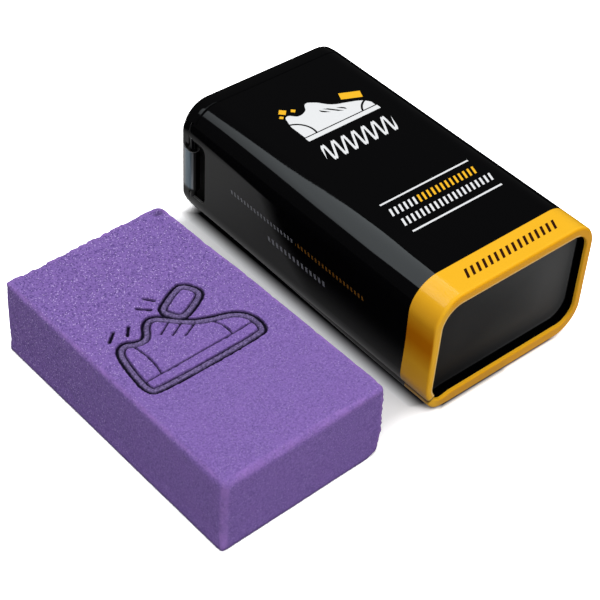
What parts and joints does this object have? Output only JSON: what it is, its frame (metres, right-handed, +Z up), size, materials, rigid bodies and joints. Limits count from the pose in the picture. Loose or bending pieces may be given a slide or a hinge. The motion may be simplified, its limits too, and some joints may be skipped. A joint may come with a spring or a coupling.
{
  "type": "suede eraser with hinged tin",
  "caption": "Rubber crumb block for cleaning suede, lying beside the upright pocket tin it is kept in, with a shallow lid hinged on its narrow side.",
  "frame": {"origin": "middle of the broad face that the tin lies on, level with the floor", "axes": "+Z up from the floor, +Y along the tin from its base to its lid, -X from the tin towards the block"},
  "size_m": [0.1159, 0.0967, 0.0347],
  "materials": {
    "black_lacquer": "gloss black lacquer over tinplate, with a yellow band printed round the base end",
    "black_plate": "black lacquered tinplate, semi gloss",
    "purple_rubber": "matt crumb rubber with fine light specks"
  },
  "bodies": {
    "tin": {"body_shell": "black_lacquer", "base_plate": "black_plate"},
    "lid": {"lid": "black_lacquer"},
    "block": {"eraser_block": "purple_rubber"}
  },
  "joints": [
    {"name": "lid_hinge", "type": "hinge", "parent": "tin", "child": "lid", "pos_m": [-0.0253, 0.04325, 0.01735], "axis": [0, 0, 1], "range_deg": [0, 115]},
    {"name": "block_lift", "type": "slide", "parent": "tin", "child": "block", "axis": [0, 0, 1], "range_m": [0, 0.06]}
  ]
}
